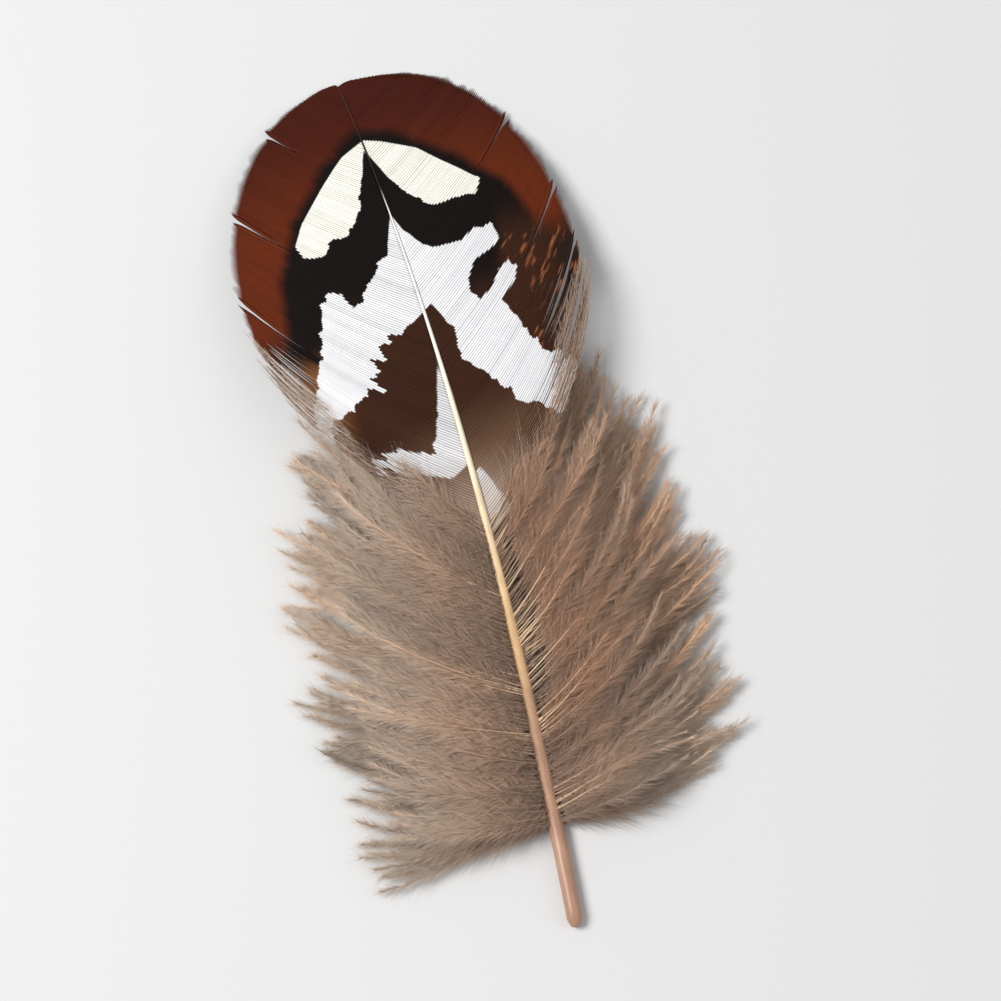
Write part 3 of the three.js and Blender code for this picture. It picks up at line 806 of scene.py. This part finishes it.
def barbules(lines, values, a_mm, longest, bare):
    """Barbules on the given barbs: their lines, and where on the barb they grow."""
    lengths = np.linalg.norm(np.diff(lines, axis=1), axis=2).sum(1)
    counts = (lengths * a_mm).astype(int)
    which = np.repeat(np.arange(len(lines)), counts)
    share = rng.random(len(which)) ** BARBULE_CROWDING
    keep = share * lengths[which] > bare[which]
    which, share = which[keep], share[keep]
    base, ahead = along_lines(lines, which, share)
    across = unit(np.cross(ahead, UP))
    upward = np.cross(across, ahead)
    angle = BARBULE_ANGLE - BARBULE_CLOSING * share + rng.normal(0, BARBULE_ANGLE_SPREAD, len(which))
    angle = np.radians(np.clip(angle, *BARBULE_ANGLE_LIMITS))
    tilt = np.clip(rng.normal(0, BARBULE_TILT_SPREAD, len(which)), *BARBULE_TILT_LIMITS)
    tilt = np.radians(tilt)
    sign = np.where(rng.random(len(which)) < 0.5, -1.0, 1.0)
    out = across * (sign * np.cos(tilt))[:, None] + upward * np.sin(tilt)[:, None]
    way = ahead * np.cos(angle)[:, None] + out * np.sin(angle)[:, None]
    size = BARBULE_AT_ENDS + BARBULE_BETWEEN * np.sin(np.pi * share**BARBULE_BULGE)
    size = longest * size * (1 - BARBULE_SHORTENING * share)
    uneven = rng.normal(0, BARBULE_LENGTH_SPREAD, len(which))
    size *= 1 + np.clip(uneven, *BARBULE_LENGTH_LIMITS)
    tip = base + way * size[:, None]
    tip[:, 2] = np.maximum(tip[:, 2], BARBULE_LOWEST)
    made = np.stack([base, tip], 1)
    picked = {key: np.stack([numbers[which], numbers[which]], 1) for key, numbers in values.items()}
    # A barbule's end counts as further out, so that it gets more of the painted light at the down's tips
    picked["out"] = np.stack([share, share + BARBULE_LIT_END], 1)
    picked["ramus"] = 0.0
    return made, picked, which


THREAD = [(-0.87, -0.5, 0), (0, 1, 0), (0.87, -0.5, 0)]
down_pieces = []
for side, side_name in ((-1, "left"), (1, "right")):
    for layer_index, layer in enumerate(DOWN_LAYERS):
        count = DOWN_LOCKS * BARBS_A_LOCK
        lock = np.arange(count) // BARBS_A_LOCK
        own_t = (np.arange(count) + rng.random(count) * ROOT_SCATTER) / count
        lock_t = (lock + 0.5) / DOWN_LOCKS
        lock_uneven = LOCK_UNEVENNESS * drifting(DOWN_LOCKS, 2)[lock]
        lock_turn = LOCK_TURN * drifting(DOWN_LOCKS, 4) + rng.normal(0, LOCK_TURN, DOWN_LOCKS)
        lock_turn = lock_turn[lock]
        root = shaft_line(DOWN_FIRST_Y + (DOWN_LAST_Y - DOWN_FIRST_Y) * own_t)
        root[:, 2] += layer["rise"]
        lock_root = shaft_line(DOWN_FIRST_Y + (DOWN_LAST_Y - DOWN_FIRST_Y) * lock_t)
        lock_root[:, 2] += layer["rise"]
        own_uneven = rng.normal(0, BARB_UNEVENNESS, count) - BARB_SHORTER
        own_turn = rng.normal(0, BARB_TURN, count)
        own_sag = rng.uniform(*layer["sag"], count)
        lock_sag = rng.uniform(*layer["sag"], DOWN_LOCKS)[lock]
        own = down_lines(root, own_t, side, layer, own_uneven, own_turn, own_sag)
        shared = down_lines(lock_root, lock_t, side, layer, lock_uneven, lock_turn, lock_sag)
        clumping = rng.uniform(LEAST_CLUMPING, MOST_CLUMPING, DOWN_LOCKS)[lock][:, None, None]
        s = np.linspace(0, 1, DOWN_STEPS)[None, :]
        lines = own + clumping * s[..., None] ** CLUMPING_ONSET * (shared - own)
        flow = np.zeros((count, DOWN_STEPS))
        for bend, often, along_barb, by_side, by_layer in FLOWS:
            shift = by_side * side + by_layer * layer_index
            flow += bend * s**FLOW_ONSET * np.sin(often * root[:, 1, None] + along_barb * s + shift)
        phase = rng.random(count)[:, None] * 2 * math.pi
        curl = CURL * s * np.sin(CURL_WAVES * s + phase)
        lines[..., 0] += CURL_ACROSS * curl - side * FLOW_ACROSS * flow
        lines[..., 1] += curl + flow
        lines[..., 2] += CURL_UP * s * (1 + np.sin(CURL_UP_WAVES * s + 2 * phase))
        tone = LOCK_TONES * drifting(DOWN_LOCKS, 2)[lock] + rng.normal(0, BARB_TONES, count)
        warm = DOWN_WARM[side] * smooth(own_t, 0.0, DOWN_WARM_FROM)
        name = f"down_{side_name}_{'under' if layer_index == 0 else 'upper'}"
        steps_out = np.broadcast_to(np.linspace(0, 1, DOWN_STEPS), (count, DOWN_STEPS))
        bold = smooth(tone, *BOLD_TONES)[:, None]
        lines[..., 2] += BOLD_LIFT * bold * np.sin(np.pi * s)
        thick = RAMUS_RADIUS * (1 + BOLD_THICKER * bold) * (1 - RAMUS_TAPER * steps_out)
        down_pieces.append(strand_object(
            name + "_barbs", lines, thick, thick, THREAD,
            {"tone": tone[:, None], "warm": warm[:, None], "out": steps_out, "ramus": 1.0},
        ))
        near_vane = smooth(root[:, 1], BARE_FROM_Y - BARE_ONSET, BARE_FROM_Y)
        more_bare = (BARE_BASE[side] - BARE_BASE[-1]) * near_vane * rng.uniform(*BARE_SPREAD, count)
        bare = BARE_BASE[-1] + more_bare
        hues = {"tone": tone, "warm": warm}
        fluff, picked, rows = barbules(lines, hues, BARBULES_A_MM, BARBULE_LENGTH, bare)
        thin = np.full((len(fluff), 2), BARBULE_RADIUS)
        down_pieces.append(strand_object(name + "_fluff", fluff, thin, thin, THREAD, picked, rows))

# The fringe between vane and down
# The lowest barbs of each vane have no hooks near their ends, and bear short down there instead.
FRINGE_A_MM = 8.0
FRINGE_LENGTH = 1.2
FRINGE_STARTS = (15.0, 7.0)  # how far out from the shaft, on the highest and on the lowest of them
FRINGE_TONES = 0.6
FRINGE_FINENESS = 0.8
for side, side_name in ((-1, "left"), (1, "right")):
    barbs, downy = fringed[side]
    bare = FRINGE_STARTS[0] + (FRINGE_STARTS[1] - FRINGE_STARTS[0]) * downy
    tone = rng.normal(0, FRINGE_TONES, len(barbs))
    hues = {"tone": tone, "warm": np.full(len(barbs), DOWN_WARM[side])}
    fluff, picked, rows = barbules(barbs, hues, FRINGE_A_MM, FRINGE_LENGTH, bare)
    thin = np.full((len(fluff), 2), FRINGE_FINENESS * BARBULE_RADIUS)
    down_pieces.append(strand_object(f"fringe_{side_name}", fluff, thin, thin, THREAD, picked, rows))

# The down's own taupe is in the middle. Darker at the roots is painted shade deep in the fluff, and paler
# at the tips is painted light
DOWN_SHADED_ROOT = srgb(151, 118, 93)
DOWN_MIDDLE = srgb(197, 163, 136)
DOWN_LIT_TIP = srgb(219, 195, 171)
DOWN_RAMUS = srgb(232, 203, 168)
DOWN_WARMTH = (0.98, 0.84, 0.72, 1.0)  # the share of red, green and blue that is left
DOWN_MIDDLE_OUT = 0.4
PALE_TONES = (0.1, 1.2)
RAMUS_LEAST_PALE = 0.2
RAMUS_PALE_GAIN = 0.6
DOWN_UNEVENNESS = 0.18
DOWN_GRAIN = 300.0
down_hair, tree, shader = new_material("down_hair")
out = attribute(tree, "out")
# Painted shade at the roots and painted light at the tips, set by each strand's place along its barb
down_colour = colour_ramp(
    tree, out, [(0.0, DOWN_SHADED_ROOT), (DOWN_MIDDLE_OUT, DOWN_MIDDLE), (1.0, DOWN_LIT_TIP)]
)
down_colour = mix(tree, attribute(tree, "warm"), down_colour, DOWN_WARMTH, blend="MULTIPLY")
pale_ones = ramp_over(tree, attribute(tree, "tone"), *PALE_TONES)
ramus_light = math_node(tree, "MULTIPLY_ADD", pale_ones, RAMUS_PALE_GAIN, RAMUS_LEAST_PALE)
ramus_share = math_node(tree, "MULTIPLY", attribute(tree, "ramus"), ramus_light)
down_colour = mix(tree, ramus_share, down_colour, DOWN_RAMUS)
down_colour = varied(tree, down_colour, attribute(tree, "tone"), DOWN_UNEVENNESS, DOWN_GRAIN)
set_inputs(tree, shader, {
    "Base Color": down_colour, "Roughness": 0.7, "Specular IOR Level": 0.3, "Sheen Weight": 0.3,
    "Sheen Roughness": 0.5,
})
for piece in down_pieces:
    piece.data.materials.append(down_hair)
    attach(piece, "root")
    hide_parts("feather")

# The afterfeather
# A small second feather, downy all over, on a thin shaft of its own. It forks from the underside at the
# top of the quill and lies hidden beneath the main one, where it keeps the bird warm.
AFTER_FORK_Y = 6.5
AFTER_LENGTH = 33.0
AFTER_BARBS = 28
AFTER_TIP_HEIGHT = 2.6
AFTER_A_MM = 14.0
AFTER_BARBULE_LENGTH = 1.8
AFTER_BARE_BASE = 0.3
AFTER_BOW = 1.2  # how far left of the main shaft it ends
AFTER_DROP = 0.1  # it leaves the main shaft this far below its middle
AFTER_FALL = 0.9
AFTER_SHAFT_RADII = (0.3, 0.06)
AFTER_SHAFT_STEPS = 24
AFTER_SHAFT_OUT = 0.6  # it has the colour of a barb this far out
AFTER_SECTION = [(-0.87, -0.5, 0), (-0.87, 0.5, 0), (0, 1, 0), (0.87, 0.5, 0), (0.87, -0.5, 0),
                 (0, -1, 0)]
AFTER_RAMUS_RADII = (0.03, 0.012)
AFTER_BARB_LENGTHS = (11.0, 8.5)  # at the fork and at the tip
AFTER_LENGTH_JITTER = 0.07
AFTER_START_ANGLES = (66, 40)  # from its shaft, at the fork and at the tip
AFTER_END_ANGLES = (40, 14)
AFTER_TURN = 4.0
AFTER_END_HEIGHT = 0.9
AFTER_LOFT = 0.2
AFTER_LOWEST = 0.15
AFTER_TONES = 0.5


def after_line(t):
    """Points on the afterfeather's shaft, in mm."""
    fork = shaft_line(AFTER_FORK_Y)
    points = shaft_line(AFTER_FORK_Y + AFTER_LENGTH * t)
    points[..., 0] -= AFTER_BOW * t
    start_height = fork[2] - AFTER_DROP
    points[..., 2] = start_height + (AFTER_TIP_HEIGHT - start_height) * t**AFTER_FALL
    return points


after_pieces = []
after_steps = np.linspace(0, 1, AFTER_SHAFT_STEPS)
after_middle = after_line(after_steps)[None]
after_thick = np.interp(after_steps, (0, 1), AFTER_SHAFT_RADII)[None]
after_pieces.append(strand_object(
    "afterfeather_shaft", after_middle, after_thick, after_thick, AFTER_SECTION,
    {"tone": 0.0, "warm": 0.0, "out": AFTER_SHAFT_OUT, "ramus": 1.0},
))
for side, side_name in ((-1, "left"), (1, "right")):
    t = (np.arange(AFTER_BARBS) + 0.5) / AFTER_BARBS
    root = after_line(t)
    s = np.linspace(0, 1, DOWN_STEPS)[None, :]
    length = np.interp(t, (0, 1), AFTER_BARB_LENGTHS)
    length *= 1 + rng.normal(0, AFTER_LENGTH_JITTER, AFTER_BARBS)
    turn = rng.normal(0, AFTER_TURN, AFTER_BARBS)
    start_angle = np.radians(np.interp(t, (0, 1), AFTER_START_ANGLES) + turn)
    end_angle = np.radians(np.interp(t, (0, 1), AFTER_END_ANGLES) + turn)
    bend = 2 * s * (1 - s)
    x = root[:, 0, None] + side * 0.5 * length[:, None] * (
        bend * np.sin(start_angle)[:, None]
        + s**2 * (np.sin(start_angle) + np.sin(end_angle))[:, None]
    )
    y = root[:, 1, None] + 0.5 * length[:, None] * (
        bend * np.cos(start_angle)[:, None]
        + s**2 * (np.cos(start_angle) + np.cos(end_angle))[:, None]
    )
    fall = (AFTER_END_HEIGHT - root[:, 2, None]) * s**DOWN_FALL
    z = root[:, 2, None] + fall + AFTER_LOFT * np.sin(np.pi * s)
    lines = np.stack([x, y, np.maximum(z, AFTER_LOWEST)], -1)
    steps_out = np.broadcast_to(np.linspace(0, 1, DOWN_STEPS), (AFTER_BARBS, DOWN_STEPS))
    thick = np.interp(steps_out, (0, 1), AFTER_RAMUS_RADII)
    tone = rng.normal(0, AFTER_TONES, AFTER_BARBS)
    after_pieces.append(strand_object(
        f"afterfeather_{side_name}_barbs", lines, thick, thick, THREAD,
        {"tone": tone[:, None], "warm": 0.0, "out": steps_out, "ramus": 1.0},
    ))
    bare = np.full(AFTER_BARBS, AFTER_BARE_BASE)
    hues = {"tone": tone, "warm": np.zeros(AFTER_BARBS)}
    fluff, picked, rows = barbules(lines, hues, AFTER_A_MM, AFTER_BARBULE_LENGTH, bare)
    thin = np.full((len(fluff), 2), BARBULE_RADIUS)
    after_pieces.append(strand_object(
        f"afterfeather_{side_name}_fluff", fluff, thin, thin, THREAD, picked, rows
    ))
for piece in after_pieces:
    piece.data.materials.append(down_hair)
    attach(piece, "root")
    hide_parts("feather")

# The surface that it lies on
# A plain, pale, matt board, far wider than the view.
FLOOR_SIZE = 3.0
floor_shape = bmesh.new()
bmesh.ops.create_grid(floor_shape, x_segments=1, y_segments=1, size=FLOOR_SIZE / 2)
floor_mesh = bpy.data.meshes.new("floor")
floor_shape.to_mesh(floor_mesh)
floor_shape.free()
floor = bpy.data.objects.new("floor", floor_mesh)
bpy.context.scene.collection.objects.link(floor)
board, tree, shader = new_material("pale_board")
set_inputs(tree, shader, {"Base Color": srgb(216, 216, 216), "Roughness": 0.8})
floor_mesh.materials.append(board)

# The studio light
# One large soft box above and to the left, a weaker one to the right, and an even pale surround.
LOOK_AT = Vector((0.0035, 0.0336, 0.003))
SURROUND_STRENGTH = 0.4


def soft_box(name, place, size, power):
    light = bpy.data.lights.new(name, "AREA")
    light.shape = "DISK"
    light.size = size
    light.energy = power
    lamp = bpy.data.objects.new(name, light)
    lamp.location = place
    lamp.rotation_euler = (LOOK_AT - Vector(place)).to_track_quat("-Z", "Y").to_euler()
    bpy.context.scene.collection.objects.link(lamp)


soft_box("key_light", place=(-0.35, 0.15, 0.5), size=0.3, power=3.7)
soft_box("fill_light", place=(0.5, -0.2, 0.4), size=0.5, power=0.7)
world = bpy.data.worlds.new("studio")
world.use_nodes = True
world.node_tree.nodes["Background"].inputs["Color"].default_value = (1.0, 1.0, 1.0, 1.0)
world.node_tree.nodes["Background"].inputs["Strength"].default_value = SURROUND_STRENGTH
bpy.context.scene.world = world
bpy.context.scene.view_settings.view_transform = "Standard"

# The camera
# It looks down on the feather from beyond its quill, a little to the left, as the photograph does.
VIEW_DOWN = math.radians(76)
VIEW_TURN = math.radians(15.8)
VIEW_DISTANCE = 0.33
LENS = 135.0
NEAREST_SEEN = 0.01
camera_data = bpy.data.cameras.new("camera")
camera_data.lens = LENS
camera_data.clip_start = NEAREST_SEEN
camera = bpy.data.objects.new("camera", camera_data)
flat_way = Vector((-math.sin(VIEW_TURN), -math.cos(VIEW_TURN), 0)) * math.cos(VIEW_DOWN)
camera.location = LOOK_AT + (flat_way + Vector((0, 0, math.sin(VIEW_DOWN)))) * VIEW_DISTANCE
camera.rotation_euler = (LOOK_AT - camera.location).to_track_quat("-Z", "Y").to_euler()
bpy.context.scene.collection.objects.link(camera)
bpy.context.scene.camera = camera
